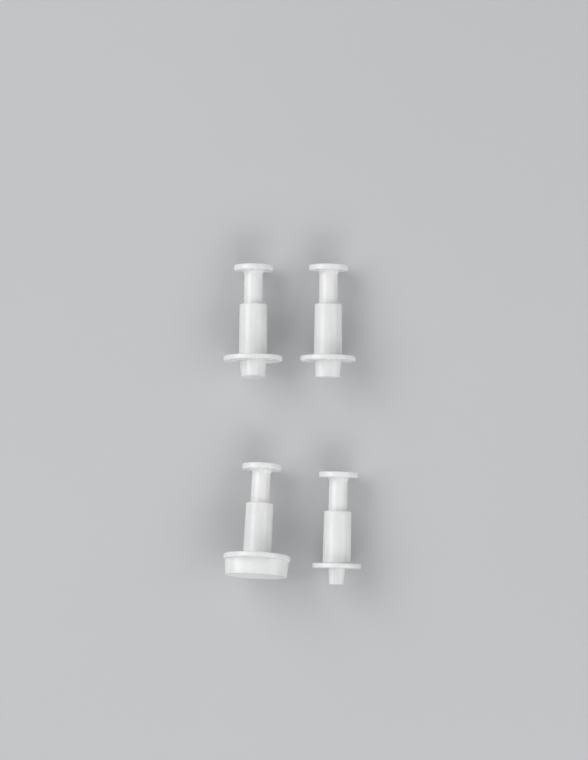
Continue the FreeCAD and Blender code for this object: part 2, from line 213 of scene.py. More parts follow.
class StageSettings(bpy.types.PropertyGroup):
    """Floor, lights and camera."""

    floor: colour("Floor", (0.58, 0.59, 0.60), "Plain pale floor")
    floor_radius: length("Floor radius", 3000.0, "Flat floor before it sweeps up")
    sweep_radius: length("Sweep radius", 1500.0, "Radius of the floor's sweep")
    camera_distance: length("Camera distance", 2600.0, "Camera above the middle of the cutters")
    picture_scale: length("Picture scale", 0.41, "Length that one pixel covers at the cutters")
    world_strength: FloatProperty(
        name="World", description="Strength of the even light", default=0.35, min=0.0
    )
    left_power: power("Left light", 13.9, "Strip light on the left, the strongest")
    right_power: power("Right light", 7.1, "Strip light on the right")
    blade_power: power("Blade light", 6.5, "Light on the blades' side, which reaches into their mouths")


class Cutter:
    """A cutter's own frame: origin in the middle of its edge, Z towards its cap, X along its oval."""

    def __init__(self, name):
        self.name = name
        self.seams = (SEAM_TURNS[name], SEAM_TURNS[name] + math.pi)
        self.joint = JOINTS[f"{name}_press"]
        cap = MOUNTS[f"{name}_cap_face"]
        coil = self.joint["deforming_nodes"][0]
        self.spring_seat = np.array(coil["fixed_end_m"])
        self.spring_top = np.array(coil["moving_end_m"])
        upwards = np.array(cap["axis"])
        outwards = np.array(cap["pos_m"]) - self.spring_seat
        outwards -= upwards * (outwards @ upwards)
        outwards /= np.linalg.norm(outwards)
        self.axes = np.array([outwards, np.cross(upwards, outwards), upwards])
        edge = ((self.corners_of("cutter_head") - self.spring_seat) @ upwards).min()
        self.origin = self.spring_seat + upwards * edge

    def corners_of(self, piece):
        """Vertices of one of the cutter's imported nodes, in the row frame."""
        mesh = frame["nodes"][f"{self.name}_{piece}"].data
        places = np.empty(len(mesh.vertices) * 3)
        mesh.vertices.foreach_get("co", places)
        return places.reshape(-1, 3)

    def own(self, points):
        """Points of the row frame in the cutter's own frame."""
        return (points - self.origin) @ self.axes.T

    def row(self, points):
        """Points of the cutter's own frame in the row frame."""
        return points @ self.axes + self.origin

    def measure(self, piece):
        """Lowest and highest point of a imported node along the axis, and its reach from the axis."""
        points = self.own(self.corners_of(piece))
        return points[:, 2].min(), points[:, 2].max(), np.hypot(points[:, 0], points[:, 1]).max()

    def oval(self, piece):
        """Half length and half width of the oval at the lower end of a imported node."""
        points = self.own(self.corners_of(piece))
        reach = np.abs(points[points[:, 2] < points[:, 2].min() + EDGE_TOLERANCE, :2])
        return reach.max(axis=0)


# Outlines and meshes

def ring(reach, height, radius=0.0):
    """Corner of a round outline: the same reach both ways, a height and a rounding."""
    return [reach, reach, height, radius]


def oval_ring(half_axes, offset, height, radius=0.0):
    """Corner of an oval outline that stands an offset outside an oval."""
    return [half_axes[0] + offset, half_axes[1] + offset, height, radius]


def unit(vectors):
    """Vectors divided by their lengths."""
    return vectors / np.linalg.norm(vectors, axis=-1, keepdims=True)


def rounded(corners):
    """Open outline of (reach, height) through corners of (reach, height, radius).

    The two ends stay as they are.  Each corner between them becomes the rational quadratic curve from one
    side to the next, with the corner as its middle point and the sine of half the corner's angle as that
    point's weight, which is a true circular arc.
    """
    points, radius = corners[:, :2], corners[1:-1, 2]
    corner = points[1:-1]
    back, ahead = unit(points[:-2] - corner), unit(points[2:] - corner)
    half_angle = np.arccos(np.clip((back * ahead).sum(axis=1), -1, 1)) / 2
    cut = (radius / np.tan(half_angle))[:, None]
    start, end = corner + back * cut, corner + ahead * cut
    along = np.linspace(0, 1, ARC_POINTS)[:, None]
    pull = 2 * along * (1 - along) * np.sin(half_angle)[:, None, None]
    arcs = (1 - along) ** 2 * start[:, None] + pull * corner[:, None] + along**2 * end[:, None]
    arcs /= (1 - along) ** 2 + pull + along**2
    return np.vstack([points[:1], arcs.reshape(-1, 2), points[-1:]])


def outline(corners, closed, spacing):
    """Rows of (reach along X, reach along Y, height) through rounded corners, with long runs divided."""
    corners = np.array(corners, float)
    if closed:
        corners = np.vstack([corners[-1:], corners, corners[:1]])
    long_way, short_way = rounded(corners[:, [0, 2, 3]]), rounded(corners[:, [1, 2, 3]])
    rows = np.column_stack([long_way[:, 0], short_way[:, 0], long_way[:, 1]])
    if closed:
        rows = np.vstack([rows[1:-1], rows[1:2]])
    travelled = np.concatenate([[0], np.cumsum(np.linalg.norm(np.diff(rows, axis=0), axis=1))])
    extra = np.arange(spacing, travelled[-1], spacing)
    nearest = np.abs(extra[:, None] - travelled[None]).min(axis=1)
    stations = np.union1d(travelled, extra[nearest > spacing / SPACING_PARTS])
    rows = np.column_stack([np.interp(stations, travelled, column) for column in rows.T])
    return rows[:-1] if closed else rows


def turning(rows, closed):
    """Turn of an outline at each row, in radians per metre: positive on edges, negative in corners.

    It is the change of heading, divided by the mean of the steps before and after the row.
    """
    path = rows[:, [0, 2]]
    path = np.vstack([path[-1:], path, path[:1]]) if closed else np.vstack([path[:1], path, path[-1:]])
    step = np.diff(path, axis=0)
    heading = np.arctan2(step[:, 1], step[:, 0])
    turn = (np.diff(heading) + math.pi) % FULL_TURN - math.pi
    distance = np.linalg.norm(step, axis=1)
    bend = turn / np.maximum((distance[1:] + distance[:-1]) / 2, EDGE_TOLERANCE)
    if not closed:
        bend[[0, -1]] = 0
    return bend


def outward_share(rows, closed):
    """How far each row of an outline faces straight out from the axis, from none to all.

    It is the climb from the row before to the row after, divided by their distance.
    """
    ahead = np.roll(rows, -1, axis=0) - np.roll(rows, 1, axis=0)
    if not closed:
        ahead[0], ahead[-1] = rows[1] - rows[0], rows[-1] - rows[-2]
    return np.clip(ahead[:, 2] / np.maximum(np.linalg.norm(ahead[:, [0, 2]], axis=1), EDGE_TOLERANCE), 0, 1)


def columns_with_seams(seams, half_width):
    """Even angles for a full turn, with more of them close to each parting seam."""
    even = np.arange(ROUND_COLUMNS) * FULL_TURN / ROUND_COLUMNS
    fine = np.linspace(-half_width, half_width, SEAM_COLUMNS)
    near = (np.array(seams)[:, None] + fine[None]).ravel() % FULL_TURN
    return np.unique(np.round(np.concatenate([even, near]), ANGLE_DIGITS))


def carried_round(rows, angles):
    """Outline carried round the axis: x is its X reach times the cosine, y its Y reach times the sine."""
    grid = np.empty((len(rows), len(angles), 3))
    grid[..., 0] = rows[:, :1] * np.cos(angles)
    grid[..., 1] = rows[:, 1:2] * np.sin(angles)
    grid[..., 2] = rows[:, 2:]
    return grid


def parting_ridge(rows, angles, seams, height, width, closed):
    """Lift of the surface where the mould parted: a bell curve of the way round from the nearest seam.

    It is lower on rows that face less straight out from the axis, and there is none on rows that face in.
    """
    away = np.abs((angles[None] - np.array(seams)[:, None] + math.pi) % FULL_TURN - math.pi).min(axis=0)
    reach = (rows[:, :1] + rows[:, 1:2]) / 2
    return height * outward_share(rows, closed)[:, None] * np.exp(-((reach * away / width) ** 2))


def skin(grid, closed):
    """Vertices, quads and triangles of a grid that closes round its columns, and along its rows if closed.

    An open grid starts and ends on the axis, so its first and last row become one vertex each.
    """
    rows, columns = grid.shape[:2]
    index = np.arange(rows * columns).reshape(rows, columns)
    if closed:
        lower, upper = index, np.roll(index, -1, axis=0)
        ends = np.empty((0, 3), int)
        points = grid.reshape(-1, 3)
    else:
        index = index - columns + 1
        lower, upper = index[1:-2], index[2:-1]
        first, last = np.full(columns, 0), np.full(columns, (rows - 2) * columns + 1)
        start, end = index[1], index[-2]
        fans = [np.stack([first, np.roll(start, -1), start], 1), np.stack([last, end, np.roll(end, -1)], 1)]
        ends = np.concatenate(fans)
        points = np.concatenate([grid[0, :1], grid[1:-1].reshape(-1, 3), grid[-1, :1]])
    quads = np.stack([lower, np.roll(lower, -1, 1), np.roll(upper, -1, 1), upper], -1).reshape(-1, 4)
    return points, quads, ends


def spread(values, columns, closed):
    """Values of an outline's rows, repeated for each vertex that skin makes of them."""
    if closed:
        return np.repeat(values, columns)
    return np.concatenate([values[:1], np.repeat(values[1:-1], columns), values[-1:]])


def new_mesh(name, points, quads, triangles):
    """Mesh of quads and triangles, shaded smooth."""
    mesh = bpy.data.meshes.new(name)
    mesh.vertices.add(len(points))
    mesh.vertices.foreach_set("co", points.astype(np.float32).ravel())
    corners = np.concatenate([quads.ravel(), triangles.ravel()])
    sides = np.concatenate([np.full(len(quads), 4), np.full(len(triangles), 3)])
    mesh.loops.add(len(corners))
    mesh.loops.foreach_set("vertex_index", corners.astype(np.int32))
    mesh.polygons.add(len(sides))
    mesh.polygons.foreach_set("loop_start", np.concatenate([[0], np.cumsum(sides)[:-1]]).astype(np.int32))
    mesh.polygons.foreach_set("use_smooth", np.ones(len(sides), bool))
    mesh.update(calc_edges=True)
    return mesh


def add_values(mesh, name, values):
    """Attribute of one number or one vector for each vertex."""
    kind, field = ("FLOAT_VECTOR", "vector") if values.ndim == 2 else ("FLOAT", "value")
    attribute = mesh.attributes.new(name, kind, "POINT")
    attribute.data.foreach_set(field, values.astype(np.float32).ravel())


def new_piece(name, mesh, material):
    """Object at the origin that shows a mesh in a material."""
    piece = bpy.data.objects.new(name, mesh)
    bpy.context.scene.collection.objects.link(piece)
    mesh.materials.append(material)
    return piece


def stand_for(piece, node):
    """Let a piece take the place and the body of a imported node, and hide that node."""
    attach(piece, frame["nodes"][node]["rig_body"])
    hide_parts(node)


def moulding(cutter, kind, corners, closed, sizes, material):
    """Moulded piece of a cutter: an outline carried round its axis, with ridges where the mould parted."""
    rows = outline(corners, closed, sizes.row_spacing)
    reach = rows[:, 0].max()
    angles = columns_with_seams(cutter.seams, SEAM_HALF_WIDTHS * sizes.seam_width / reach)
    grid = carried_round(rows, angles)
    ridge = parting_ridge(rows, angles, cutter.seams, sizes.seam_height, sizes.seam_width, closed)
    grid[..., 0] += ridge * np.cos(angles)
    grid[..., 1] += ridge * np.sin(angles)
    points, quads, triangles = skin(grid, closed)
    node = f"{cutter.name}_{kind}"
    mesh = new_mesh(f"{node}_moulding", cutter.row(points), quads, triangles)
    bend = turning(rows, closed) * sizes.edge_break
    add_values(mesh, "own_place", points)
    add_values(mesh, "edge", spread(np.clip(bend, 0, 1), len(angles), closed))
    add_values(mesh, "corner", spread(np.clip(-bend, 0, 1), len(angles), closed))
    piece = new_piece(mesh.name, mesh, material)
    stand_for(piece, node)
    return piece


def mould_each(kind, corners_for, closed, sizes, material):
    """Each cutter with its moulded piece of one kind, from the function that gives its outline."""
    return [
        (cutter, moulding(cutter, kind, corners_for(cutter, sizes), closed, sizes, material))
        for cutter in map(Cutter, CUTTERS)
    ]


# Nodes of the materials.  A Mix node has sockets for each kind of value, and these are those for colours.
MIX_FIRST_COLOUR, MIX_SECOND_COLOUR, MIX_RESULT_COLOUR = 6, 7, 2


def fill(tree, node, sockets):
    """Give a node's input sockets their values, or links from other sockets."""
    for key, value in sockets.items():
        if isinstance(value, bpy.types.NodeSocket):
            tree.links.new(value, node.inputs[key])
        else:
            node.inputs[key].default_value = value
    return node


def put(tree, kind, sockets=None, **settings):
    """Add a node with its settings, and fill its input sockets."""
    made = tree.nodes.new(kind)
    for key, value in settings.items():
        setattr(made, key, value)
    return fill(tree, made, sockets or {})


def calculate(tree, operation, *values):
    """Output of a Math node."""
    return put(tree, "ShaderNodeMath", dict(enumerate(values)), operation=operation).outputs[0]


def between(tree, value, low, high, to_low=0.0, to_high=1.0):
    """Output of a smooth Map Range node."""
    sockets = {"Value": value, "From Min": low, "From Max": high, "To Min": to_low, "To Max": to_high}
    return put(tree, "ShaderNodeMapRange", sockets, interpolation_type="SMOOTHSTEP").outputs["Result"]


def fading(tree, value, low, high):
    """Mask that falls smoothly from all to none while a value rises from low to high."""
    return between(tree, value, low, high, 1.0, 0.0)


def mix_colours(tree, amount, first, second):
    """Output of a colour Mix node, for colours or for sockets that give them."""
    first, second = (
        value if isinstance(value, bpy.types.NodeSocket) else (*value, 1.0) for value in (first, second)
    )
    sockets = {"Factor": amount, MIX_FIRST_COLOUR: first, MIX_SECOND_COLOUR: second}
    return put(tree, "ShaderNodeMix", sockets, data_type="RGBA").outputs[MIX_RESULT_COLOUR]


def stretched(tree, place, scale, turn=(0.0, 0.0, 0.0)):
    """Place turned and scaled by a Mapping node."""
    sockets = {"Vector": place, "Scale": scale, "Rotation": turn}
    return put(tree, "ShaderNodeMapping", sockets).outputs["Vector"]


def noise(tree, place, scale, detail=2.0):
    """Value of a Noise texture, whose scale is the number of features to a metre."""
    sockets = {"Vector": place, "Scale": scale, "Detail": detail}
    return put(tree, "ShaderNodeTexNoise", sockets).outputs["Fac"]


def bumped(tree, height, strength, distance):
    """Normal of a Bump node."""
    sockets = {"Strength": strength, "Distance": distance, "Height": height}
    return put(tree, "ShaderNodeBump", sockets).outputs["Normal"]


def held(tree, name):
    """Outputs of an Attribute node, which reads what the mesh holds for each vertex."""
    return put(tree, "ShaderNodeAttribute", attribute_name=name, attribute_type="GEOMETRY").outputs


def new_group(name, inputs, outputs):
    """Empty node group with named sockets: its tree, its inputs by name and its output node."""
    tree = bpy.data.node_groups.new(name, "ShaderNodeTree")
    for direction, sockets in (("INPUT", inputs), ("OUTPUT", outputs)):
        for socket, kind in sockets.items():
            tree.interface.new_socket(socket, in_out=direction, socket_type=f"NodeSocket{kind}")
    entry = tree.nodes.new("NodeGroupInput")
    return tree, entry.outputs, tree.nodes.new("NodeGroupOutput")


# Effects that the materials share.  A scale is the number of features to a metre, and a band gives the
# values between which an effect comes in or fades.
PEEL_SCALE, PEEL_DETAIL = 2300.0, 1.5
FLOW_SCALE, FLOW_DETAIL = 230.0, 3.0
FLOW_STRETCH = (1.0, 1.0, 0.3)
HAIRLINE_SCALE, HAIRLINE_DETAIL, HAIRLINE_BAND = 4200.0, 0.0, (0.735, 0.765)
HAIRLINE_STRETCH = (1.0, 1.0, 0.035)
HAIRLINE_TURNS = ((1.4, 0.15, 0.4), (0.3, -0.2, 1.9))
SCUFF_PATCH_SCALE, SCUFF_PATCH_BAND = 320.0, (0.5, 0.64)
RUB_SCALE, RUB_BAND = 900.0, (0.42, 0.62)
RUBBED_EDGE_BAND = (0.05, 0.4)
CORNER_DUST_SCALE, CORNER_DUST_BAND = 700.0, (0.02, 0.5)
SPECK_SCALE, SPECK_DETAIL, SPECK_BAND = 3100.0, 0.0, (0.80, 0.84)
ACROSS_AXIS = (1.0, 1.0, 0.0)
PIN_FACE_BAND = (0.10 * MILLIMETRE, 0.16 * MILLIMETRE)
PIN_GROOVE_BAND = (0.03 * MILLIMETRE, 0.10 * MILLIMETRE)
PIN_INSIDE_BAND = (-0.03 * MILLIMETRE, 0.0)


def moulded_skin():
    """Group: the faint orange peel of a moulded surface, and the broad clouds of its flow."""
    tree, given, result = new_group(
        "moulded_skin", {"Place": "Vector"}, {"Peel": "Float", "Cloud": "Float"}
    )
    peel = noise(tree, given["Place"], PEEL_SCALE, PEEL_DETAIL)
    cloud = noise(tree, stretched(tree, given["Place"], FLOW_STRETCH), FLOW_SCALE, FLOW_DETAIL)
    fill(tree, result, {"Peel": peel, "Cloud": cloud})
    return tree


def handling_marks():
    """Group: hairline scuffs in patches, crossing in two directions, and rubbed edges."""
    tree, given, result = new_group(
        "handling_marks", {"Place": "Vector", "Edge": "Float"}, {"Scuff": "Float", "Rub": "Float"}
    )
    lines = []
    for turn in HAIRLINE_TURNS:
        drawn = stretched(tree, given["Place"], HAIRLINE_STRETCH, turn)
        lines.append(between(tree, noise(tree, drawn, HAIRLINE_SCALE, HAIRLINE_DETAIL), *HAIRLINE_BAND))
    patch = between(tree, noise(tree, given["Place"], SCUFF_PATCH_SCALE), *SCUFF_PATCH_BAND)
    scuff = calculate(tree, "MULTIPLY", calculate(tree, "MAXIMUM", *lines), patch)
    worn = between(tree, noise(tree, given["Place"], RUB_SCALE), *RUB_BAND)
    rub = calculate(tree, "MULTIPLY", between(tree, given["Edge"], *RUBBED_EDGE_BAND), worn)
    fill(tree, result, {"Scuff": scuff, "Rub": rub})
    return tree


def settled_dust():
    """Group: dust gathered in corners, and scattered specks."""
    tree, given, result = new_group(
        "settled_dust", {"Place": "Vector", "Corner": "Float"}, {"Dust": "Float"}
    )
    gathered = between(tree, given["Corner"], *CORNER_DUST_BAND)
    corner = calculate(tree, "MULTIPLY", gathered, noise(tree, given["Place"], CORNER_DUST_SCALE))
    speck = between(tree, noise(tree, given["Place"], SPECK_SCALE, SPECK_DETAIL), *SPECK_BAND)
    fill(tree, result, {"Dust": calculate(tree, "MAXIMUM", corner, speck)})
    return tree


def turned_rings():
    """Group: the faint rings that a turned mould face leaves.

    Their height is half of one more than the sine of the distance from the axis, a full turn to a pitch.
    """
    tree, given, result = new_group(
        "turned_rings", {"Place": "Vector", "Pitch": "Float"}, {"Height": "Float"}
    )
    flat = put(tree, "ShaderNodeVectorMath", {0: given["Place"], 1: ACROSS_AXIS}, operation="MULTIPLY")
    reach = put(tree, "ShaderNodeVectorMath", {0: flat.outputs["Vector"]}, operation="LENGTH")
    turned = calculate(tree, "MULTIPLY", reach.outputs["Value"], FULL_TURN)
    phase = calculate(tree, "DIVIDE", turned, given["Pitch"])
    wave = calculate(tree, "MULTIPLY_ADD", calculate(tree, "SINE", phase), 0.5, 0.5)
    fill(tree, result, {"Height": wave})
    return tree


def pin_marks():
    """Group: the round outlines that two mould pins left on a flat face, either side of the oval.

    The distance to a pin is the length of (x, |y| - reach), and the outline is a groove where that distance
    is the pin's radius, on the face at the given level alone.
    """
    tree, given, result = new_group(
        "pin_marks",
        {"Place": "Vector", "Reach": "Float", "Level": "Float", "Radius": "Float"},
        {"Groove": "Float", "Inside": "Float"},
    )
    place = put(tree, "ShaderNodeSeparateXYZ", {0: given["Place"]}).outputs
    aside = calculate(tree, "SUBTRACT", calculate(tree, "ABSOLUTE", place["Y"]), given["Reach"])
    aside_square = calculate(tree, "MULTIPLY", aside, aside)
    square = calculate(tree, "MULTIPLY_ADD", place["X"], place["X"], aside_square)
    away = calculate(tree, "SUBTRACT", calculate(tree, "SQRT", square), given["Radius"])
    above = calculate(tree, "ABSOLUTE", calculate(tree, "SUBTRACT", place["Z"], given["Level"]))
    face = fading(tree, above, *PIN_FACE_BAND)
    line = fading(tree, calculate(tree, "ABSOLUTE", away), *PIN_GROOVE_BAND)
    inside = fading(tree, away, *PIN_INSIDE_BAND)
    groove, pressed = (calculate(tree, "MULTIPLY", mask, face) for mask in (line, inside))
    fill(tree, result, {"Groove": groove, "Inside": pressed})
    return tree


GROUP_MAKERS = {
    maker.__name__: maker for maker in (moulded_skin, handling_marks, settled_dust, turned_rings, pin_marks)
}


def use_group(tree, name, sockets):
    """Outputs of a shared group in a material.  The group is made the first time."""
    group = bpy.data.node_groups.get(name) or GROUP_MAKERS[name]()
    return put(tree, "ShaderNodeGroup", sockets, node_tree=group).outputs


def new_material(name):
    """Empty material: itself, its tree and its Principled shader."""
    material = bpy.data.materials.new(name)
    material.use_nodes = True
    tree = material.node_tree
    return material, tree, tree.nodes["Principled BSDF"]


# White plastic.  The depths of its marks are multiples of the bump's distance.
PLASTIC_IOR = 1.53
SCATTER_WEIGHT = 0.5
SCATTER_RADIUS = (1.0, 0.95, 0.9)
SCATTER_DEPTH = 1.2 * MILLIMETRE
CLOUD_TONE_BAND, CLOUD_GLOSS_BAND = (0.35, 0.75), (0.2, 0.8)
CLOUD_SMOOTHER, CLOUD_ROUGHER = 0.05, 0.06
DUST_COVER = 0.45
SCUFF_ROUGHNESS, RUB_ROUGHNESS = 0.12, 0.12
SCUFF_DEPTH = 0.35
PIN_GROOVE_DEPTH, PIN_INSIDE_DEPTH = 16.0, 6.0
PLASTIC_BUMP, PLASTIC_BUMP_DISTANCE = 0.35, 0.012 * MILLIMETRE
CAP_RING_PITCH, CAP_RING_DEPTH = 0.55 * MILLIMETRE, 0.5
FOOT_RING_PITCH, FOOT_RING_DEPTH = 0.4 * MILLIMETRE, 0.35


def white_plastic(name, finish, roughness, ring_pitch=None, ring_depth=0.0, pin_level=None, pin_radius=0.0):
    """White moulded plastic: soft gloss over orange peel, with clouds, hairlines, rubbed edges and dust."""
    material, tree, shader = new_material(name)
    place = held(tree, "own_place")["Vector"]
    surface = use_group(tree, "moulded_skin", {"Place": place})
    marks = use_group(tree, "handling_marks", {"Place": place, "Edge": held(tree, "edge")["Fac"]})
    dust = use_group(tree, "settled_dust", {"Place": place, "Corner": held(tree, "corner")["Fac"]})["Dust"]

    tone = between(tree, surface["Cloud"], *CLOUD_TONE_BAND)
    clouded = mix_colours(tree, tone, finish.white, finish.shade)
    dusty = mix_colours(tree, calculate(tree, "MULTIPLY", dust, DUST_COVER), clouded, finish.dust)

    smoothest, roughest = roughness - CLOUD_SMOOTHER, roughness + CLOUD_ROUGHER
    clouds = between(tree, surface["Cloud"], *CLOUD_GLOSS_BAND, smoothest, roughest)
    scuffed = calculate(tree, "MULTIPLY_ADD", marks["Scuff"], SCUFF_ROUGHNESS, clouds)
    rubbed = calculate(tree, "MULTIPLY_ADD", marks["Rub"], RUB_ROUGHNESS, scuffed)

    hairlines = calculate(tree, "MULTIPLY", marks["Scuff"], SCUFF_DEPTH)
    height = calculate(tree, "SUBTRACT", surface["Peel"], hairlines)
    if ring_pitch:
        rings = use_group(tree, "turned_rings", {"Place": place, "Pitch": ring_pitch})["Height"]
        height = calculate(tree, "MULTIPLY_ADD", rings, ring_depth, height)
    if pin_level:
        reach = held(tree, "pin_reach")["Fac"]
        sockets = {"Place": place, "Reach": reach, "Level": pin_level, "Radius": pin_radius}
        pins = use_group(tree, "pin_marks", sockets)
        height = calculate(tree, "MULTIPLY_ADD", pins["Groove"], -PIN_GROOVE_DEPTH, height)
        height = calculate(tree, "MULTIPLY_ADD", pins["Inside"], -PIN_INSIDE_DEPTH, height)

    fill(tree, shader, {
        "Base Color": dusty,
        "Roughness": rubbed,
        "Normal": bumped(tree, height, PLASTIC_BUMP, PLASTIC_BUMP_DISTANCE),
        "IOR": PLASTIC_IOR,
        "Subsurface Weight": SCATTER_WEIGHT,
        "Subsurface Radius": SCATTER_RADIUS,
        "Subsurface Scale": SCATTER_DEPTH,
    })
    return material


# Spring wire
STREAK_SCALE, STREAK_DETAIL, STREAK_BAND = 9000.0, 3.0, (0.3, 0.7)
STREAK_STRETCH = (1.0, 1.0, 0.02)
STREAK_DULLNESS = 0.72
STREAK_SMOOTHER, STREAK_ROUGHER = 0.06, 0.1
STEEL_BUMP, STEEL_BUMP_DISTANCE = 0.3, 0.01 * MILLIMETRE


def drawn_steel(name, finish):
    """Bright spring wire, streaked along its length by the drawing die."""
    material, tree, shader = new_material(name)
    place = held(tree, "own_place")["Vector"]
    streak = noise(tree, stretched(tree, place, STREAK_STRETCH), STREAK_SCALE, STREAK_DETAIL)
    dulled = tuple(STREAK_DULLNESS * channel for channel in finish.steel)
    smoothest, roughest = finish.steel_roughness - STREAK_SMOOTHER, finish.steel_roughness + STREAK_ROUGHER
    fill(tree, shader, {
        "Base Color": mix_colours(tree, streak, finish.steel, dulled),
        "Roughness": between(tree, streak, *STREAK_BAND, smoothest, roughest),
        "Normal": bumped(tree, streak, STEEL_BUMP, STEEL_BUMP_DISTANCE),
        "Metallic": 1.0,
    })
    return material


# Corners of the moulded pieces' outlines, in each cutter's own frame.  The thumb recess is dished within a
# share of its reach.
DISH_SHARE = 0.6


def plunger_corners(cutter, sizes):
    """Outline of the thumb cap and stem, from the top of the rod's bore to the gate mark in the recess."""
    stem_end, cap_top, cap = cutter.measure("plunger")
    _, rod_top, _ = cutter.measure("ejector")
    stem, rod, gate = sizes.stem_diameter / 2, sizes.rod_diameter / 2, sizes.gate_diameter / 2
    underside, floor = cap_top - sizes.cap_thickness, cap_top - sizes.recess_depth
    recess, dish, small = cap - sizes.recess_margin, floor - sizes.dish_depth, sizes.edge_break
    return [
        ring(0, rod_top),
        ring(rod, rod_top, small),
        ring(rod, stem_end, small),
        ring(stem - sizes.lead_chamfer, stem_end, small),
        ring(stem, stem_end + sizes.lead_chamfer, small),
        ring(stem, underside, sizes.neck_fillet),
        ring(cap, underside, sizes.rim_round),
        ring(cap, cap_top, sizes.rim_round),
        ring(recess, cap_top, 2 * small),
        ring(recess - small, floor, 2 * small),
        ring(DISH_SHARE * recess, dish, sizes.dish_radius),
        ring(gate, dish, small / 2),
        ring(gate - small, dish + sizes.gate_height, small / 2),
        ring(0, dish + sizes.gate_height / 2),
    ]


def barrel_corners(cutter, sizes):
    """Outline of the barrel: foot, drafted outside, rounded mouth, guide lip and bore."""
    foot, mouth, foot_reach = cutter.measure("barrel")
    guide = sizes.stem_diameter / 2 + sizes.slide_clearance
    bore, small = guide + sizes.guide_step, sizes.edge_break
    return [
        ring(bore, foot, small),
        ring(foot_reach - sizes.seam_chamfer, foot, small),
        ring(foot_reach, foot + sizes.seam_chamfer, small),
        ring(bore + sizes.barrel_wall, mouth, sizes.mouth_round),
        ring(guide + sizes.lead_chamfer, mouth, small),
        ring(guide, mouth - sizes.lead_chamfer, small),
        ring(guide, mouth - sizes.guide_length, small),
        ring(bore, mouth - sizes.guide_length, small),
    ]


def head_corners(cutter, sizes):
    """Outline of the head: blade inside and outside, flange, spigot and spring pocket."""
    edge, spigot_top, rim = cutter.measure("cutter_head")
    flange_top, _, _ = cutter.measure("barrel")
    underside, blade = flange_top - sizes.flange_thickness, cutter.oval("cutter_head")
    hole = sizes.rod_diameter / 2 + sizes.slide_clearance
    spigot = sizes.stem_diameter / 2 + sizes.slide_clearance + sizes.guide_step
    pocket, small = spigot - sizes.spigot_wall, sizes.edge_break
    return [
        ring(hole, underside, small),
        oval_ring(blade, sizes.blade_taper - sizes.blade_root_wall, underside, 2 * small),
        oval_ring(blade, -sizes.blade_edge_wall, edge, small / 2),
        oval_ring(blade, 0, edge, small / 2),
        oval_ring(blade, sizes.blade_taper, underside, sizes.blade_root_fillet),
        ring(rim, underside, sizes.rim_round),
        ring(rim, flange_top, sizes.rim_round),
        ring(spigot, flange_top, small),
        ring(spigot, spigot_top - sizes.lead_chamfer, small),
        ring(spigot - sizes.lead_chamfer, spigot_top, small),
        ring(pocket, spigot_top, small),
        ring(pocket, flange_top, small),
        ring(hole, flange_top, small),
    ]


def ejector_corners(cutter, sizes):
    """Outline of the ejector: oval foot and round rod."""
    underside, rod_top, _ = cutter.measure("ejector")
    flat, rod, small = cutter.oval("ejector"), sizes.rod_diameter / 2, sizes.edge_break
    foot_top, foot = underside + sizes.foot_thickness, sizes.foot_round
    gate, sunk = sizes.foot_gate_diameter / 2, underside + sizes.foot_gate_depth
    return [
        ring(0, sunk),
        ring(gate - small, sunk, small / 2),
        ring(gate, underside, small / 2),
        oval_ring(flat, foot, underside, foot),
        oval_ring(flat, foot, foot_top, small),
        ring(rod, foot_top, small),
        ring(rod, rod_top - sizes.lead_chamfer, small),
        ring(rod - sizes.lead_chamfer, rod_top, small),
        ring(0, rod_top),
    ]


def spring_grid(cutter, sizes):
    """Wire of a spring, a circle carried along a helix, with the way round the helix and the wire's angles.

    The helix climbs by the end coils' pitch in its end turns, and between them by a pitch that swells and
    falls as a raised cosine, so its height is a straight rise with a sine on it.
    """
    seat, top = (cutter.own(end)[2] for end in (cutter.spring_seat, cutter.spring_top))
    half_wire, ends, active = sizes.wire_diameter / 2, sizes.spring_end_turns, sizes.spring_active_turns
    bore = sizes.stem_diameter / 2 + sizes.slide_clearance + sizes.guide_step
    radius = bore - sizes.spigot_wall - sizes.spring_clearance - half_wire
    low, high = seat + sizes.spring_seat_gap + half_wire, top - sizes.spring_seat_gap - half_wire
    all_turns = active + 2 * ends
    pitch = sizes.wire_diameter + sizes.end_coil_gap
    swell = (high - low - pitch * all_turns) / active
    turn = np.linspace(0, all_turns, all_turns * WIRE_ROWS_PER_TURN + 1)
    within = np.clip(turn - ends, 0, active)
    phase = FULL_TURN * within / active
    rise = low + pitch * turn + swell * (within - active * np.sin(phase) / FULL_TURN)
    slope = pitch + swell * (1 - np.cos(phase)) * (within > 0) * (within < active)
    angle = FULL_TURN * turn
    out = np.column_stack([np.cos(angle), np.sin(angle), np.zeros_like(angle)])
    way = unit(np.column_stack([-np.sin(angle), np.cos(angle), slope / (FULL_TURN * radius)]))
    over = np.cross(way, out)
    centre = out * radius
    centre[:, 2] = rise
    round_wire = np.arange(WIRE_COLUMNS) * FULL_TURN / WIRE_COLUMNS
    section = half_wire * (
        np.cos(round_wire)[None, :, None] * out[:, None] + np.sin(round_wire)[None, :, None] * over[:, None]
    )
    tube = centre[:, None] + section
    start, end = np.repeat(centre[[0, -1]][:, None], WIRE_COLUMNS, axis=1)
    return np.concatenate([start[None], tube, end[None]]), angle * radius, round_wire


# Operators

class CUTTERS_OT_plungers(bpy.types.Operator):
    """Thumb cap and stem of each cutter"""

    bl_idname = "cutters.plungers"
    bl_label = "Plungers"

    def execute(self, context):
        sizes, finish = context.scene.cutter_sizes, context.scene.cutter_finish
        plastic = white_plastic(
            "plunger_white_plastic", finish, finish.gloss_roughness, CAP_RING_PITCH, CAP_RING_DEPTH
        )
        mould_each("plunger", plunger_corners, False, sizes, plastic)
        return {"FINISHED"}


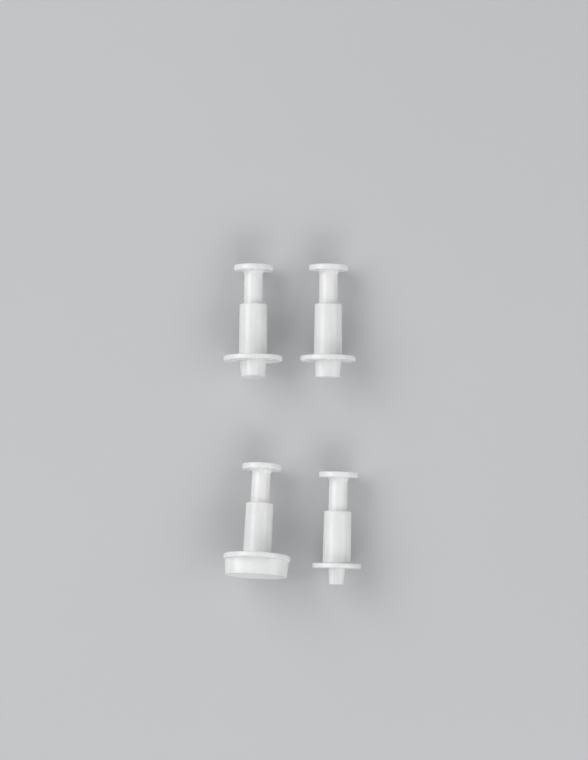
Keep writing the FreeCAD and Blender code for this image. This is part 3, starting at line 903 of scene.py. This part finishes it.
class CUTTERS_OT_barrels(bpy.types.Operator):
    """Drafted barrel of each cutter"""

    bl_idname = "cutters.barrels"
    bl_label = "Barrels"

    def execute(self, context):
        sizes, finish = context.scene.cutter_sizes, context.scene.cutter_finish
        plastic = white_plastic("barrel_white_plastic", finish, finish.gloss_roughness)
        mould_each("barrel", barrel_corners, True, sizes, plastic)
        return {"FINISHED"}


class CUTTERS_OT_heads(bpy.types.Operator):
    """Flange, oval blade and spigot of each cutter"""

    bl_idname = "cutters.heads"
    bl_label = "Cutter heads"

    def execute(self, context):
        sizes, finish = context.scene.cutter_sizes, context.scene.cutter_finish
        # All the flanges stand at one level in their cutters' own frames, so the first cutter gives it.
        level = Cutter(CUTTERS[0]).measure("barrel")[0] - sizes.flange_thickness
        plastic = white_plastic(
            "head_white_plastic",
            finish,
            finish.gloss_roughness,
            pin_level=level,
            pin_radius=sizes.pin_diameter / 2,
        )
        for cutter, piece in mould_each("cutter_head", head_corners, True, sizes, plastic):
            root, rim = cutter.oval("cutter_head")[1] + sizes.blade_taper, cutter.measure("cutter_head")[2]
            add_values(piece.data, "pin_reach", np.full(len(piece.data.vertices), (root + rim) / 2))
        return {"FINISHED"}


class CUTTERS_OT_ejectors(bpy.types.Operator):
    """Oval foot and rod inside each cutter"""

    bl_idname = "cutters.ejectors"
    bl_label = "Ejectors"

    def execute(self, context):
        sizes, finish = context.scene.cutter_sizes, context.scene.cutter_finish
        plastic = white_plastic(
            "ejector_white_plastic", finish, finish.satin_roughness, FOOT_RING_PITCH, FOOT_RING_DEPTH
        )
        mould_each("ejector", ejector_corners, False, sizes, plastic)
        return {"FINISHED"}


class CUTTERS_OT_springs(bpy.types.Operator):
    """Return spring of each cutter, coiled between its fixed and its moving end"""

    bl_idname = "cutters.springs"
    bl_label = "Return springs"

    def execute(self, context):
        sizes, finish = context.scene.cutter_sizes, context.scene.cutter_finish
        steel = drawn_steel("spring_drawn_steel", finish)
        for cutter in map(Cutter, CUTTERS):
            node = f"{cutter.name}_return_spring"
            grid, along, round_wire = spring_grid(cutter, sizes)
            points, quads, triangles = skin(grid, False)
            mesh = new_mesh(f"{node}_coil", cutter.row(points), quads, triangles)
            half_wire = sizes.wire_diameter / 2
            straight = np.stack(np.broadcast_arrays(
                half_wire * np.cos(round_wire)[None], half_wire * np.sin(round_wire)[None], along[:, None]
            ), -1).reshape(-1, 3)
            add_values(mesh, "own_place", np.concatenate([straight[:1], straight, straight[-1:]]))
            piece = new_piece(mesh.name, mesh, steel)
            stand_for(piece, node)
            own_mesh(piece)
        return {"FINISHED"}


# Stage.  A lamp has the setting of its power, the way to it from the middle of the set, in diagonals of the
# set's box, and the sides of its strip in metres.
PICTURE_PIXELS = (588, 760)
SET_MIDDLE_PIXEL = (292.16, 424.08)
SENSOR = 36.0
CLIP_CAMERA_DISTANCES = 100
FLOOR_RINGS = 64
FLOOR_COLUMNS = 96
FLOOR_DROP = 0.02 * MILLIMETRE
FLOOR_TONE_SCALE, FLOOR_TONE_BAND, FLOOR_DARKER = 6.0, (0.3, 0.7), 0.985
FLOOR_GRAIN_SCALE = 1500.0
FLOOR_BUMP, FLOOR_BUMP_DISTANCE = 0.1, 0.02 * MILLIMETRE
FLOOR_ROUGHNESS, FLOOR_SPECULAR = 0.75, 0.2
WHITE_LIGHT = (1.0, 1.0, 1.0, 1.0)
LAMPS = {
    "left_light": ("left_power", (-7.6, 3.4, 6.2), (1.8, 0.9)),
    "right_light": ("right_power", (7.5, -2.5, 6.0), (1.8, 0.8)),
    "blade_light": ("blade_power", (0.5, -8.0, 7.0), (1.4, 0.8)),
}


def pale_floor(name, stage):
    """Plain matt floor with a barely uneven tone."""
    material, tree, shader = new_material(name)
    place = put(tree, "ShaderNodeTexCoord").outputs["Object"]
    tone = between(tree, noise(tree, place, FLOOR_TONE_SCALE), *FLOOR_TONE_BAND)
    darker = tuple(FLOOR_DARKER * channel for channel in stage.floor)
    grain = noise(tree, place, FLOOR_GRAIN_SCALE)
    fill(tree, shader, {
        "Base Color": mix_colours(tree, tone, stage.floor, darker),
        "Normal": bumped(tree, grain, FLOOR_BUMP, FLOOR_BUMP_DISTANCE),
        "Roughness": FLOOR_ROUGHNESS,
        "Specular IOR Level": FLOOR_SPECULAR,
    })
    return material


def floor_mesh(stage):
    """Round floor: flat to its radius, then a quarter circle that sweeps up, with a fan in the middle."""
    flat = np.linspace(0, stage.floor_radius, FLOOR_RINGS // 2)
    rise = np.linspace(0, math.pi / 2, FLOOR_RINGS // 2)[1:]
    reach = np.concatenate([flat, stage.floor_radius + stage.sweep_radius * np.sin(rise)])
    height = np.concatenate([np.zeros_like(flat), stage.sweep_radius * (1 - np.cos(rise))]) - FLOOR_DROP
    angles = np.arange(FLOOR_COLUMNS) * FULL_TURN / FLOOR_COLUMNS
    grid = carried_round(np.column_stack([reach, reach, height])[::-1], angles)
    column = np.arange(FLOOR_COLUMNS)
    starts = np.arange(grid.shape[0] - 1)[:, None] * FLOOR_COLUMNS
    here, beside = starts + column, starts + np.roll(column, -1)
    quads = np.stack([here[:-1], beside[:-1], beside[1:], here[1:]], -1).reshape(-1, 4)
    points = np.concatenate([grid[:-1].reshape(-1, 3), grid[-1, :1]])
    fan = np.stack([here[-1], beside[-1], np.full(FLOOR_COLUMNS, len(points) - 1)], 1)
    return new_mesh("studio_floor", points, quads, fan)


def area_light(name, place, aim, size, watts):
    """Soft rectangular light that points at a place."""
    lamp = bpy.data.lights.new(name, "AREA")
    lamp.shape, lamp.size, lamp.size_y, lamp.energy = "RECTANGLE", *size, watts
    light = bpy.data.objects.new(name, lamp)
    bpy.context.scene.collection.objects.link(light)
    light.location = place
    light.rotation_mode = "QUATERNION"
    light.rotation_quaternion = (aim - light.location).to_track_quat("-Z", "Y")
    light.visible_camera = False


def even_light(strength):
    """World of plain white light."""
    world = bpy.data.worlds.new("even_light")
    world.use_nodes = True
    background = world.node_tree.nodes["Background"]
    fill(world.node_tree, background, {"Color": WHITE_LIGHT, "Strength": strength})
    return world


def picture_camera(stage, middle):
    """Camera straight above the set, placed so that the set's middle falls on its pixel of the picture."""
    lens = bpy.data.cameras.new("picture_camera")
    camera = bpy.data.objects.new("picture_camera", lens)
    bpy.context.scene.collection.objects.link(camera)
    width, height = PICTURE_PIXELS
    across = (width / 2 - SET_MIDDLE_PIXEL[0]) * stage.picture_scale
    along = (SET_MIDDLE_PIXEL[1] - height / 2) * stage.picture_scale
    camera.location = (middle.x + across, middle.y + along, middle.z + stage.camera_distance)
    lens.sensor_fit, lens.sensor_width = "AUTO", SENSOR
    lens.lens = SENSOR * stage.camera_distance / (height * stage.picture_scale)
    lens.clip_end = CLIP_CAMERA_DISTANCES * stage.camera_distance
    return camera


class CUTTERS_OT_stage(bpy.types.Operator):
    """Floor, soft lights and the camera straight above the cutters"""

    bl_idname = "cutters.stage"
    bl_label = "Stage"

    def execute(self, context):
        scene, stage = context.scene, context.scene.cutter_stage
        mesh = floor_mesh(stage)
        new_piece("studio_floor", mesh, pale_floor("floor_pale_matt", stage))
        low, high = CAD_BOX
        middle, diagonal = (low + high) / 2, (high - low).length
        for name, (setting, way, size) in LAMPS.items():
            place = Vector([start + diagonal * step for start, step in zip(middle, way)])
            area_light(name, place, middle, size, getattr(stage, setting))
        scene.world = even_light(stage.world_strength)
        scene.camera = picture_camera(stage, middle)
        scene.view_settings.view_transform = "Standard"
        return {"FINISHED"}


class CUTTERS_PT_sidebar(bpy.types.Panel):
    """Settings of the cutters, and the operators that build them"""

    bl_idname = "CUTTERS_PT_sidebar"
    bl_label = "Oval plunger cutters"
    bl_space_type = "VIEW_3D"
    bl_region_type = "UI"
    bl_category = "Cutters"

    def draw(self, context):
        for name in SETTINGS:
            settings, box = getattr(context.scene, name), self.layout.box()
            for setting in settings.__annotations__:
                box.prop(settings, setting)
        for operator in OPERATORS:
            self.layout.operator(operator.bl_idname)


OPERATORS = (
    CUTTERS_OT_plungers,
    CUTTERS_OT_barrels,
    CUTTERS_OT_heads,
    CUTTERS_OT_ejectors,
    CUTTERS_OT_springs,
    CUTTERS_OT_stage,
)
SETTINGS = {"cutter_sizes": CutterSizes, "cutter_finish": FinishSettings, "cutter_stage": StageSettings}
CLASSES = (*SETTINGS.values(), *OPERATORS, CUTTERS_PT_sidebar)


def register():
    """Register the classes, and hang the settings on the scene."""
    for kind in CLASSES:
        bpy.utils.register_class(kind)
    for name, kind in SETTINGS.items():
        setattr(bpy.types.Scene, name, PointerProperty(type=kind))


def unregister():
    """Take the settings off the scene, and unregister the classes."""
    for name in SETTINGS:
        delattr(bpy.types.Scene, name)
    for kind in reversed(CLASSES):
        bpy.utils.unregister_class(kind)


def main():
    """Build the pieces and the stage."""
    register()
    bpy.ops.cutters.plungers()
    bpy.ops.cutters.barrels()
    bpy.ops.cutters.heads()
    bpy.ops.cutters.ejectors()
    bpy.ops.cutters.springs()
    bpy.ops.cutters.stage()


if __name__ == "__main__":
    main()
